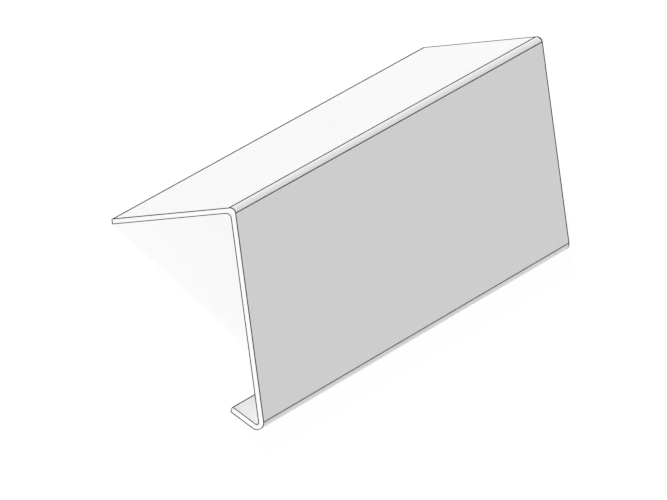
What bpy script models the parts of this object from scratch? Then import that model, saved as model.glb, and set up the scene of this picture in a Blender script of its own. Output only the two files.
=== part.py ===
"""Verge flashing: one length of 3 mm coated aluminium with a top flange, a fascia web and a return lip.

The piece lies unheld on a level floor as an upturned channel, on the long edges of its flange and lip,
with the outside of the sheet up. X runs across the piece, Y along it and Z up.
"""

import math

import bpy
from mathutils import Matrix, Vector

# The cut piece
LENGTH = 0.600
THICKNESS = 0.003

# Widths of the three legs, each measured over the outside of the sheet
FLANGE_WIDTH = 0.069
WEB_HEIGHT = 0.120
LIP_WIDTH = 0.0189

# Angles between neighbouring legs, measured inside the section
TOP_ANGLE = math.radians(90.0)
LIP_ANGLE = math.radians(48.0)

# The lip's free edge is cut on a slant: this is its angle in the sheet, at the lip's inside
LIP_EDGE_ANGLE = math.radians(75.0)

# Bends: the top one has a full corner, so its two radii are set apart, and the lip fold keeps its thickness
TOP_OUTER_RADIUS = 0.0032
TOP_INNER_RADIUS = 0.0027
FOLD_INNER_RADIUS = 0.0009
FOLD_OUTER_RADIUS = FOLD_INNER_RADIUS + THICKNESS

# Cut edges: the long free edges are rounded, and the two ends have their burr taken off
EDGE_RADIUS = 0.0004
END_CHAMFER = 0.0002

# Facets of the round stretches
BEND_FACET_ANGLE = math.radians(7.5)
EDGE_FACET_ANGLE = math.radians(22.5)

# Limits for closing the curve's loose caps and for picking out the end cuts' edges
WELD_DISTANCE = 0.00001
FLAT_ANGLE = math.radians(0.5)
END_CUT_ANGLE = math.radians(60.0)

COATING_COLOUR = (0.86, 0.86, 0.86, 1.0)
COATING_ROUGHNESS = 0.45


def section_corners():
    """The section's sharp corners in order, each with its radius and facet angle.

    The piece is drawn as it is fixed to a roof, with the web upright and the top bend's outer corner at (0, 0).
    """
    along_flange = Vector((-math.sin(TOP_ANGLE), -math.cos(TOP_ANGLE)))
    down_web = Vector((0.0, -1.0))
    along_lip = Vector((-math.sin(LIP_ANGLE), math.cos(LIP_ANGLE)))

    # Steps through the sheet, from the outside of each leg to its inside
    through_flange = Vector((math.cos(TOP_ANGLE), -math.sin(TOP_ANGLE))) * THICKNESS
    through_web = Vector((-1.0, 0.0)) * THICKNESS
    through_lip = Vector((math.cos(LIP_ANGLE), math.sin(LIP_ANGLE))) * THICKNESS

    flange_edge = along_flange * FLANGE_WIDTH
    top_inner = through_web + down_web * (THICKNESS / math.tan(TOP_ANGLE / 2))

    # The fold's arc ends the web at its full height, and its sharp corner lies a little below that
    fold_setback = FOLD_OUTER_RADIUS / math.tan(LIP_ANGLE / 2)
    fold_outer = down_web * (WEB_HEIGHT - FOLD_OUTER_RADIUS + fold_setback)
    fold_inner = fold_outer + through_web - down_web * (THICKNESS / math.tan(LIP_ANGLE / 2))
    lip_edge = fold_outer + along_lip * (LIP_WIDTH - FOLD_OUTER_RADIUS + fold_setback)
    lip_edge_inner = lip_edge + through_lip + along_lip * (THICKNESS / math.tan(LIP_EDGE_ANGLE))

    return {
        "flange edge, upper": (flange_edge, EDGE_RADIUS, EDGE_FACET_ANGLE),
        "top bend, outer": (Vector((0.0, 0.0)), TOP_OUTER_RADIUS, BEND_FACET_ANGLE),
        "lip fold, outer": (fold_outer, FOLD_OUTER_RADIUS, BEND_FACET_ANGLE),
        "lip edge, lower": (lip_edge, EDGE_RADIUS, EDGE_FACET_ANGLE),
        "lip edge, upper": (lip_edge_inner, EDGE_RADIUS, EDGE_FACET_ANGLE),
        "lip fold, inner": (fold_inner, FOLD_INNER_RADIUS, BEND_FACET_ANGLE),
        "top bend, inner": (top_inner, TOP_INNER_RADIUS, BEND_FACET_ANGLE),
        "flange edge, lower": (flange_edge + through_flange, EDGE_RADIUS, EDGE_FACET_ANGLE),
    }


def rounded_corner(before, corner, after, radius, facet_angle):
    """Centre of the arc that rounds a corner, and the arc's points from one tangent to the other."""
    towards_before = (before - corner).normalized()
    towards_after = (after - corner).normalized()
    half_angle = towards_before.angle(towards_after) / 2
    setback = radius / math.tan(half_angle)
    bisector = (towards_before + towards_after).normalized()
    centre = corner + bisector * (radius / math.sin(half_angle))
    start = corner + towards_before * setback - centre
    end = corner + towards_after * setback - centre

    # A signed angle is counted clockwise and a rotation anticlockwise, hence the minus sign
    turn = -start.angle_signed(end)
    facets = math.ceil(abs(turn) / facet_angle)
    arc = [centre + Matrix.Rotation(turn * step / facets, 2) @ start for step in range(facets + 1)]
    return centre, arc


def section_outline():
    """Points round the section as the piece lies on the floor, each as (across, up)."""
    corners = section_corners()
    points = [corner for corner, _, _ in corners.values()]
    centres = {}
    outline = []
    for index, (name, (corner, radius, facet_angle)) in enumerate(corners.items()):
        before = points[index - 1]
        after = points[(index + 1) % len(points)]
        centres[name], arc = rounded_corner(before, corner, after, radius, facet_angle)
        outline.extend(arc)

    # The two long edges that the piece rests on come level with each other
    resting_line = centres["lip edge, lower"] - centres["flange edge, lower"]
    lie_down = Matrix.Rotation(-math.atan2(resting_line.y, resting_line.x), 2)
    outline = [lie_down @ point for point in outline]

    middle = (min(point.x for point in outline) + max(point.x for point in outline)) / 2
    lowest = min(point.y for point in outline)
    return [point - Vector((middle, lowest)) for point in outline]


def coating_material():
    """Pale satin coating over the whole sheet."""
    material = bpy.data.materials.new("pale_coating")
    material.use_nodes = True
    shader = material.node_tree.nodes["Principled BSDF"]
    shader.inputs["Base Color"].default_value = COATING_COLOUR
    shader.inputs["Roughness"].default_value = COATING_ROUGHNESS
    shader.inputs["Metallic"].default_value = 0.0
    return material


def flashing_sheet(collection):
    """The section drawn as a flat outline, extruded along the piece, with its end cuts deburred."""
    outline = section_outline()
    curve = bpy.data.curves.new("flashing_sheet", "CURVE")
    curve.dimensions = "2D"
    curve.fill_mode = "BOTH"
    curve.extrude = LENGTH / 2
    spline = curve.splines.new("POLY")
    spline.points.add(len(outline) - 1)
    for spline_point, point in zip(spline.points, outline):
        spline_point.co = (point.x, point.y, 0.0, 1.0)
    spline.use_cyclic_u = True
    curve.materials.append(coating_material())

    sheet = bpy.data.objects.new("flashing_sheet", curve)
    collection.objects.link(sheet)
    sheet.rotation_euler = (math.radians(90.0), 0.0, 0.0)

    weld = sheet.modifiers.new("Close the caps", "WELD")
    weld.merge_threshold = WELD_DISTANCE
    whole_caps = sheet.modifiers.new("One face for each cap", "DECIMATE")
    whole_caps.decimate_type = "DISSOLVE"
    whole_caps.angle_limit = FLAT_ANGLE
    deburr = sheet.modifiers.new("Deburr the end cuts", "BEVEL")
    deburr.width = END_CHAMFER
    deburr.segments = 1
    deburr.limit_method = "ANGLE"
    deburr.angle_limit = END_CUT_ANGLE
    return sheet


def main():
    for existing in list(bpy.data.objects):
        bpy.data.objects.remove(existing, do_unlink=True)
    collection = bpy.data.collections.new("verge_flashing")
    bpy.context.scene.collection.children.link(collection)
    flashing_sheet(collection)


main()
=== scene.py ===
"""Looks of the verge flashing: its coated sheet with dark bend and edge lines, floor, light and camera.

The piece lies on the floor as the frame has it, and the camera is rolled until the web stands upright.
"""

import math

import bmesh
import bpy
from mathutils import Matrix, Vector


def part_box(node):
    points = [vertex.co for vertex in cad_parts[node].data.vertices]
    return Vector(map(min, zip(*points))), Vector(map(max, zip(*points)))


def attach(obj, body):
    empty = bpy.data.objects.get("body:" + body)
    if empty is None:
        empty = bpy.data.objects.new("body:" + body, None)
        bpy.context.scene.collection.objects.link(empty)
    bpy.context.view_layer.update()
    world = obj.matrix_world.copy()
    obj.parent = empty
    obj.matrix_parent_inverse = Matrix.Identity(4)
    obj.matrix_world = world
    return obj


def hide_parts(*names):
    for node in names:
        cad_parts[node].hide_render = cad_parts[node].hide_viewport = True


# The sheet, in metres, as in the solid, with its three legs measured over the outside
THICKNESS = 0.003
FLANGE_WIDTH = 0.069
WEB_HEIGHT = 0.120
LIP_WIDTH = 0.0189

# Angles between neighbouring legs, inside the section, and of the lip's slanted free edge, in the sheet
TOP_ANGLE = math.radians(90.0)
LIP_ANGLE = math.radians(48.0)
LIP_EDGE_ANGLE = math.radians(75.0)

# Rounds of the bends, of the long free edges and of the end cuts
TOP_OUTER_RADIUS = 0.0032
TOP_INNER_RADIUS = 0.0027
FOLD_INNER_RADIUS = 0.0009
FOLD_OUTER_RADIUS = FOLD_INNER_RADIUS + THICKNESS
EDGE_RADIUS = 0.0004
END_RADIUS = 0.0002

# Facets of the round stretches, finer than the solid's, and the least radius that an arc shrinks to
BEND_FACET_ANGLE = math.radians(3.0)
EDGE_FACET_ANGLE = math.radians(11.25)
END_FACETS = 4
SMALLEST_RADIUS = 0.00005

# Finishes, by their slot on the sheet's mesh
COAT, LINE, CUT = range(3)

# Widths of the dark line at each corner of the section: on the side before it and on the side after it.
# Two more between them are on the corner's arc, from its two ends. Where there are none, the whole arc is
# dark.
CORNER_LINES = {
    "flange edge, upper": (0.0002, 0.0013),
    "top bend, outer": (0.0006, 0.0006, 0.0003, 0.0003),
    "lip fold, outer": (0.00026, 0.00026, 0.00026, 0.00026),
    "lip edge, lower": (0.0003, 0.0003),
    "lip edge, upper": (0.0003, 0.00037),
    "lip fold, inner": (0.0001, 0.0001, 0.0001, 0.0001),
    "top bend, inner": (0.00025, 0.00025, 0.00025, 0.00025),
    "flange edge, lower": (0.0002, 0.0002),
}

# Sides of the section, each after the corner of the same row above: its finish, and how far the dark lines
# round the near and the far cut reach onto it
SIDES = {
    "flange, outside": (COAT, 0.0013, 0.0030),
    "web, outside": (COAT, 0.0009, 0.0018),
    "lip, outside": (COAT, 0.0006, 0.0020),
    "lip, edge": (CUT, 0.0006, 0.0020),
    "lip, inside": (COAT, 0.0006, 0.0020),
    "web, inside": (COAT, 0.0008, 0.0018),
    "flange, inside": (COAT, 0.0013, 0.0030),
    "flange, edge": (CUT, 0.0013, 0.0030),
}

# Width of the dark line on the face of an end cut, inside its rounded edge, and how far the pale part of
# the face is raised within it, so that the line is wider at the bottom
END_LINE_ON_CUT = 0.00020
END_LINE_RISE = 0.00019

# Noise: its usual detail, the part of its values that is spread out, and the spread of a pale shade.
# Shades are in linear light, scales in cells to the metre and depths in metres, and a value varies by its
# spread to either side.
NOISE_DETAIL = 2.0
NOISE_LOW = 0.3
NOISE_HIGH = 0.7
SHADE_SPREAD = 0.006

# Coat: satin, with an orange peel and with clouds of shade and sheen that are drawn out along the piece
COAT_SHADE = 0.88
COAT_ROUGHNESS = 0.6
COAT_SPECULAR = 0.2
CLOUD_SCALE = 14.0
CLOUD_DETAIL = 3.0
CLOUD_STRETCH = (1.0, 0.25, 1.0)
CLOUD_ROUGHNESS_SPREAD = 0.02
PEEL_SCALE = 650.0
PEEL_DEPTH = 0.000012

# Cut faces: coated too, with the fine marks of the shears
CUT_SHADE = 0.88
CUT_ROUGHNESS = 0.525
CUT_ROUGHNESS_SPREAD = 0.075
SHEAR_MARK_SCALE = 900.0
SHEAR_RELIEF_SCALE = 1500.0
SHEAR_RELIEF_DEPTH = 0.000010

# Dark lines: matte
LINE_SHADE = 0.015
LINE_ROUGHNESS = 0.9
LINE_ROUGHNESS_SPREAD = 0.05
LINE_GRAIN_SCALE = 300.0

# Soft lamps: way to the lamp, angle across it, strength, and whether it is seen in reflections.
# A strength of 1 lights a white face square to the lamp white.
LAMPS = {
    "key": (Vector((-0.566, -0.646, 0.381)), math.radians(15.0), 0.939, True),
    "back": (Vector((0.756, 0.579, 0.306)), math.radians(20.0), 0.450, False),
}
ROOM_STRENGTH = 0.28
BACKGROUND_STRENGTH = 1.0

# Floor: its true shade, and what is seen of it, a glow and a faint shade that shows the piece's shadow
FLOOR_SHADE = 0.80
FLOOR_GLOW = 0.925
FLOOR_LIT_SHADE = 0.14

# Half the floor's width and the gap between it and the piece, in metres
FLOOR_HALF_WIDTH = 8.0
FLOOR_GAP = 0.00005

# Camera: its angles, its place in metres and its lens in millimetres
CAMERA_AZIMUTH = math.radians(0.894)
CAMERA_ELEVATION = math.radians(18.725)
CAMERA_ROLL = math.radians(57.513)
CAMERA_DISTANCE = 14.450
CAMERA_AIM = Vector((0.00419, 0.0, -0.00434))
CAMERA_CLIP_END = 3 * CAMERA_DISTANCE
LENS_MM = 1280.0


def section_corners():
    """The section's sharp corners in order, each with its radius and the angle of its facets.

    The section is drawn with the web upright and the top bend's outer corner at (0, 0).
    """
    along_flange = Vector((-math.sin(TOP_ANGLE), -math.cos(TOP_ANGLE)))
    down_web = Vector((0.0, -1.0))
    along_lip = Vector((-math.sin(LIP_ANGLE), math.cos(LIP_ANGLE)))

    # Steps through the sheet, from the outside of each leg to its inside
    through_flange = Vector((math.cos(TOP_ANGLE), -math.sin(TOP_ANGLE))) * THICKNESS
    through_web = Vector((-1.0, 0.0)) * THICKNESS
    through_lip = Vector((math.cos(LIP_ANGLE), math.sin(LIP_ANGLE))) * THICKNESS

    flange_edge = along_flange * FLANGE_WIDTH
    top_inner = through_web + down_web * (THICKNESS / math.tan(TOP_ANGLE / 2))

    # The web and the lip reach to the outside of the fold's arc, and its sharp corner lies beyond that
    fold_setback = FOLD_OUTER_RADIUS / math.tan(LIP_ANGLE / 2)
    fold_outer = down_web * (WEB_HEIGHT - FOLD_OUTER_RADIUS + fold_setback)
    fold_inner = fold_outer + through_web - down_web * (THICKNESS / math.tan(LIP_ANGLE / 2))
    lip_edge = fold_outer + along_lip * (LIP_WIDTH - FOLD_OUTER_RADIUS + fold_setback)
    lip_edge_inner = lip_edge + through_lip + along_lip * (THICKNESS / math.tan(LIP_EDGE_ANGLE))

    return {
        "flange edge, upper": (flange_edge, EDGE_RADIUS, EDGE_FACET_ANGLE),
        "top bend, outer": (Vector((0.0, 0.0)), TOP_OUTER_RADIUS, BEND_FACET_ANGLE),
        "lip fold, outer": (fold_outer, FOLD_OUTER_RADIUS, BEND_FACET_ANGLE),
        "lip edge, lower": (lip_edge, EDGE_RADIUS, EDGE_FACET_ANGLE),
        "lip edge, upper": (lip_edge_inner, EDGE_RADIUS, EDGE_FACET_ANGLE),
        "lip fold, inner": (fold_inner, FOLD_INNER_RADIUS, BEND_FACET_ANGLE),
        "top bend, inner": (top_inner, TOP_INNER_RADIUS, BEND_FACET_ANGLE),
        "flange edge, lower": (flange_edge + through_flange, EDGE_RADIUS, EDGE_FACET_ANGLE),
    }


def corner_arc(before, place, after, radius, facet_angle, line, inset):
    """Arc that rounds a corner, with the dark lines at it: centre, points and the finishes between them.

    The points lie inset into the sheet, so a hollow corner's arc grows by the inset. Any other shrinks,
    down to a small radius that it keeps.
    """
    towards_before = (before - place).normalized()
    towards_after = (after - place).normalized()
    half_angle = towards_before.angle(towards_after) / 2
    setback = radius / math.tan(half_angle)
    centre = place + (towards_before + towards_after).normalized() * (radius / math.sin(half_angle))
    outwards = (place + towards_before * setback - centre) / radius
    last_outwards = (place + towards_after * setback - centre) / radius

    # A signed angle is counted clockwise and a rotation anticlockwise, and the section runs clockwise
    turn = -outwards.angle_signed(last_outwards)
    way = math.copysign(1.0, turn)
    inset_radius = max(radius + inset * way, SMALLEST_RADIUS)
    inset_centre = place + (centre - place) * ((inset_radius - inset * way) / radius)

    on_arc = line[1:-1]
    first = on_arc[0] / radius if on_arc else 0.0
    last = abs(turn) - (on_arc[1] / radius if on_arc else 0.0)
    facets = math.ceil((last - first) / facet_angle)
    angles = [first + (last - first) * step / facets for step in range(facets + 1)]
    finishes = [COAT if on_arc else LINE] * facets
    if on_arc:
        angles = [0.0, *angles, abs(turn)]
        finishes = [LINE, *finishes, LINE]
    arc = [inset_centre + (Matrix.Rotation(angle * way, 2) @ outwards) * inset_radius for angle in angles]
    points = [arc[0] + towards_before * line[0], *arc, arc[-1] + towards_after * line[-1]]
    return centre, points, [LINE, *finishes, LINE]


def section_profile(inset):
    """The section as it lies on the floor, inset into the sheet.

    Gives its points as (across, up), the finish from each point to the next, and for each point how far
    the dark lines round the near and the far cut reach.
    """
    corners = section_corners()
    places = [place for place, _, _ in corners.values()]
    sides = list(SIDES.values())
    centres, points, finishes, reaches = {}, [], [], []
    for index, (name, (place, radius, facet_angle)) in enumerate(corners.items()):
        before = places[index - 1]
        after = places[(index + 1) % len(places)]
        arc = corner_arc(before, place, after, radius, facet_angle, CORNER_LINES[name], inset)
        centres[name], arc_points, arc_finishes = arc
        _, *reach_before = sides[index - 1]
        finish_after, *reach_after = sides[index]
        points.extend(arc_points)
        finishes.extend([*arc_finishes, finish_after])

        # The reach changes evenly round the corner from that of one side to that of the next
        for step in range(len(arc_points)):
            share = step / (len(arc_points) - 1)
            reaches.append([a + (b - a) * share for a, b in zip(reach_before, reach_after)])

    # The two long edges that the piece rests on come level with each other
    resting_line = centres["lip edge, lower"] - centres["flange edge, lower"]
    lie_down = Matrix.Rotation(-math.atan2(resting_line.y, resting_line.x), 2)
    return [lie_down @ point for point in points], finishes, reaches


def end_rings(end, way):
    """Outlines from the pale part of a cut face round its edge to where the dark line ends on the sides.

    The cut is at end, and way is 1 or -1, the direction from there into the piece. Each outline has its
    place, its inset and how far it is raised. Last comes the way in which each side's reach is added to its
    place, or 0 where none is.
    """
    rings = [(end, END_RADIUS + END_LINE_ON_CUT, END_LINE_RISE, 0.0)]
    for step in range(END_FACETS + 1):
        angle = math.radians(90.0) * (1 - step / END_FACETS)
        place = end + way * END_RADIUS * (1 - math.sin(angle))
        rings.append((place, END_RADIUS * (1 - math.cos(angle)), 0.0, 0.0))
    return [*rings, (place, 0.0, 0.0, way)]


def sheet_mesh(low, high):
    """The whole sheet as one closed mesh that fills the box from low to high."""
    outline, finishes, reaches = section_profile(0.0)
    across = [point.x for point in outline]
    middle = (min(across) + max(across)) / 2
    lowest = min(point.y for point in outline)
    shift = Vector(((low.x + high.x) / 2 - middle, low.z - lowest))

    near = [(*ring, 0) for ring in end_rings(low.y, 1.0)]
    far = [(*ring, 1) for ring in end_rings(high.y, -1.0)]
    mesh = bmesh.new()
    rings = []
    for place, inset, rise, way, end in [*near, *far[::-1]]:
        ring = []
        for point, reach in zip(section_profile(inset)[0], reaches):
            along = place + way * reach[end]
            ring.append(mesh.verts.new((point.x + shift.x, along, point.y + shift.y + rise)))
        rings.append(ring)

    count = len(outline)
    for index, (first, second) in enumerate(zip(rings, rings[1:])):
        between_lines = index == len(near) - 1
        for corner in range(count):
            after = (corner + 1) % count
            face = mesh.faces.new((first[corner], first[after], second[after], second[corner]))
            face.material_index = finishes[corner] if between_lines else LINE
            face.smooth = True
    caps = [mesh.faces.new(rings[0][::-1]), mesh.faces.new(rings[-1])]
    for cap in caps:
        cap.material_index = CUT
    mesh.normal_update()
    bmesh.ops.triangulate(mesh, faces=caps, ngon_method="EAR_CLIP")
    bmesh.ops.recalc_face_normals(mesh, faces=mesh.faces)

    data = bpy.data.meshes.new("coated_flashing")
    mesh.to_mesh(data)
    mesh.free()
    return data


def grey(shade):
    """An opaque grey, as linear light."""
    return (shade, shade, shade, 1.0)


def new_material(name, shade, roughness):
    """A grey material with a Principled shader, and its node tree and shader."""
    material = bpy.data.materials.new(name)
    material.use_nodes = True
    tree = material.node_tree
    shader = tree.nodes["Principled BSDF"]
    shader.inputs["Base Color"].default_value = grey(shade)
    shader.inputs["Roughness"].default_value = roughness
    return material, tree, shader


def noise(tree, scale, detail=NOISE_DETAIL, stretch=(1.0, 1.0, 1.0)):
    """Noise in the piece's own coordinates, in cells to the metre, with its cells stretched if asked."""
    coordinates = tree.nodes.new("ShaderNodeTexCoord")
    mapping = tree.nodes.new("ShaderNodeMapping")
    mapping.inputs["Scale"].default_value = stretch
    texture = tree.nodes.new("ShaderNodeTexNoise")
    texture.inputs["Scale"].default_value = scale
    texture.inputs["Detail"].default_value = detail
    tree.links.new(coordinates.outputs["Object"], mapping.inputs["Vector"])
    tree.links.new(mapping.outputs["Vector"], texture.inputs["Vector"])
    return texture


def vary(tree, texture, middle, spread, socket):
    """Feeds a socket from a texture, with values that lie up to the spread either side of the middle."""
    values = tree.nodes.new("ShaderNodeMapRange")
    values.inputs["From Min"].default_value = NOISE_LOW
    values.inputs["From Max"].default_value = NOISE_HIGH
    values.inputs["To Min"].default_value = middle - spread
    values.inputs["To Max"].default_value = middle + spread
    tree.links.new(texture.outputs["Fac"], values.inputs["Value"])
    tree.links.new(values.outputs["Result"], socket)


def relief(tree, shader, texture, depth):
    """Bump of a given depth in metres from a texture."""
    bump = tree.nodes.new("ShaderNodeBump")
    bump.inputs["Strength"].default_value = 1.0
    bump.inputs["Distance"].default_value = depth
    tree.links.new(texture.outputs["Fac"], bump.inputs["Height"])
    tree.links.new(bump.outputs["Normal"], shader.inputs["Normal"])


def coat_material():
    """Pale satin powder coating, with its orange peel and a slight change of shade and sheen."""
    material, tree, shader = new_material("pale_coat", COAT_SHADE, COAT_ROUGHNESS)
    shader.inputs["Specular IOR Level"].default_value = COAT_SPECULAR
    clouds = noise(tree, CLOUD_SCALE, CLOUD_DETAIL, CLOUD_STRETCH)
    vary(tree, clouds, COAT_SHADE, SHADE_SPREAD, shader.inputs["Base Color"])
    vary(tree, clouds, COAT_ROUGHNESS, CLOUD_ROUGHNESS_SPREAD, shader.inputs["Roughness"])
    relief(tree, shader, noise(tree, PEEL_SCALE), PEEL_DEPTH)
    return material


def line_material():
    """Matte dark line along a bend's tangents and round each cut edge."""
    material, tree, shader = new_material("dark_line", LINE_SHADE, LINE_ROUGHNESS)
    shader.inputs["Specular IOR Level"].default_value = 0.0
    grain = noise(tree, LINE_GRAIN_SCALE)
    vary(tree, grain, LINE_ROUGHNESS, LINE_ROUGHNESS_SPREAD, shader.inputs["Roughness"])
    return material


def cut_material():
    """Coated cut face, with the fine marks of the shears under the coat."""
    material, tree, shader = new_material("pale_cut", CUT_SHADE, CUT_ROUGHNESS)
    marks = noise(tree, SHEAR_MARK_SCALE)
    vary(tree, marks, CUT_SHADE, SHADE_SPREAD, shader.inputs["Base Color"])
    vary(tree, marks, CUT_ROUGHNESS, CUT_ROUGHNESS_SPREAD, shader.inputs["Roughness"])
    relief(tree, shader, noise(tree, SHEAR_RELIEF_SCALE), SHEAR_RELIEF_DEPTH)
    return material


def make_sheet():
    """The dressed sheet, which stands for the solid. Its materials are in the order of the slots."""
    low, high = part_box("flashing_sheet")
    data = sheet_mesh(low, high)
    for material in (coat_material(), line_material(), cut_material()):
        data.materials.append(material)
    sheet = bpy.data.objects.new("coated_flashing", data)
    bpy.context.scene.collection.objects.link(sheet)
    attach(sheet, "root")
    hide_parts("flashing_sheet")


def by_ray(tree, for_light, for_sight):
    """One shader for the light that falls on other things, and another for what is seen, in gloss too."""
    path = tree.nodes.new("ShaderNodeLightPath")
    seen = path.outputs["Is Camera Ray"]
    for name in ("Is Glossy Ray", "Is Transmission Ray"):
        either = tree.nodes.new("ShaderNodeMath")
        either.operation = "MAXIMUM"
        tree.links.new(seen, either.inputs[0])
        tree.links.new(path.outputs[name], either.inputs[1])
        seen = either.outputs["Value"]
    choice = tree.nodes.new("ShaderNodeMixShader")
    tree.links.new(seen, choice.inputs["Fac"])
    tree.links.new(for_light, choice.inputs[1])
    tree.links.new(for_sight, choice.inputs[2])
    return choice.outputs["Shader"]


def floor_material():
    """Pale floor. What is seen of it is lifted towards white, and keeps the piece's shadow."""
    material = bpy.data.materials.new("pale_floor")
    material.use_nodes = True

    # It is no lamp: its glow counts only where a ray meets it, so that it can differ by the kind of ray
    material.cycles.emission_sampling = "NONE"
    tree = material.node_tree
    tree.nodes.clear()
    true_floor = tree.nodes.new("ShaderNodeBsdfDiffuse")
    true_floor.inputs["Color"].default_value = grey(FLOOR_SHADE)
    faint_floor = tree.nodes.new("ShaderNodeBsdfDiffuse")
    faint_floor.inputs["Color"].default_value = grey(FLOOR_LIT_SHADE)
    glow = tree.nodes.new("ShaderNodeEmission")
    glow.inputs["Strength"].default_value = FLOOR_GLOW
    lifted = tree.nodes.new("ShaderNodeAddShader")
    tree.links.new(faint_floor.outputs["BSDF"], lifted.inputs[0])
    tree.links.new(glow.outputs["Emission"], lifted.inputs[1])
    output = tree.nodes.new("ShaderNodeOutputMaterial")
    surface = by_ray(tree, true_floor.outputs["BSDF"], lifted.outputs["Shader"])
    tree.links.new(surface, output.inputs["Surface"])
    return material


def make_floor():
    """Level floor, a hair below the piece."""
    mesh = bmesh.new()
    bmesh.ops.create_grid(mesh, x_segments=1, y_segments=1, size=FLOOR_HALF_WIDTH)
    data = bpy.data.meshes.new("floor")
    mesh.to_mesh(data)
    mesh.free()
    data.materials.append(floor_material())
    floor = bpy.data.objects.new("floor", data)
    floor.location.z = -FLOOR_GAP
    bpy.context.scene.collection.objects.link(floor)


def make_room():
    """White background for what is seen, and softer even light for everything else."""
    world = bpy.data.worlds.new("pale_room")
    world.cycles.sampling_method = "NONE"
    bpy.context.scene.world = world
    world.use_nodes = True
    tree = world.node_tree
    tree.nodes.clear()
    room = tree.nodes.new("ShaderNodeBackground")
    room.inputs["Strength"].default_value = ROOM_STRENGTH
    background = tree.nodes.new("ShaderNodeBackground")
    background.inputs["Strength"].default_value = BACKGROUND_STRENGTH
    for shader in (room, background):
        shader.inputs["Color"].default_value = grey(1.0)
    output = tree.nodes.new("ShaderNodeOutputWorld")
    surface = by_ray(tree, room.outputs["Background"], background.outputs["Background"])
    tree.links.new(surface, output.inputs["Surface"])


def make_lamps():
    """Lamps far off. A sun of strength pi lights a white face square to it so that it renders white."""
    for name, (towards, angle, strength, in_reflections) in LAMPS.items():
        data = bpy.data.lights.new(name, "SUN")
        data.energy = strength * math.pi
        data.angle = angle
        lamp = bpy.data.objects.new(name, data)
        lamp.rotation_mode = "QUATERNION"
        lamp.rotation_quaternion = towards.to_track_quat("Z", "Y")
        lamp.visible_glossy = in_reflections
        bpy.context.scene.collection.objects.link(lamp)


def make_camera():
    """Long lens that looks along the piece and down on it, rolled until the web stands upright."""
    data = bpy.data.cameras.new("camera")
    data.lens = LENS_MM
    data.sensor_fit = "VERTICAL"
    data.clip_end = CAMERA_CLIP_END
    camera = bpy.data.objects.new("camera", data)
    bpy.context.scene.collection.objects.link(camera)
    back = Vector(
        (
            math.sin(CAMERA_AZIMUTH) * math.cos(CAMERA_ELEVATION),
            -math.cos(CAMERA_AZIMUTH) * math.cos(CAMERA_ELEVATION),
            math.sin(CAMERA_ELEVATION),
        )
    )
    level = back.to_track_quat("Z", "Y").to_matrix()
    turned = level @ Matrix.Rotation(CAMERA_ROLL, 3, "Z")
    camera.matrix_world = Matrix.Translation(CAMERA_AIM + back * CAMERA_DISTANCE) @ turned.to_4x4()
    bpy.context.scene.camera = camera


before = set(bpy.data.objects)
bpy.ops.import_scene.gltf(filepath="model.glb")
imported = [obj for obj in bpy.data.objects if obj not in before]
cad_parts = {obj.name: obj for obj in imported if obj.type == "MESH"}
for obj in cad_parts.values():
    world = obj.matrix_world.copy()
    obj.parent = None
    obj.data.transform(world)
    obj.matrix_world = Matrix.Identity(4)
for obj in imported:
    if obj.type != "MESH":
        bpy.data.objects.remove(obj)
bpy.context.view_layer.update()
make_sheet()
make_floor()
make_room()
make_lamps()
make_camera()
bpy.context.scene.view_settings.view_transform = "Standard"
bpy.context.view_layer.update()
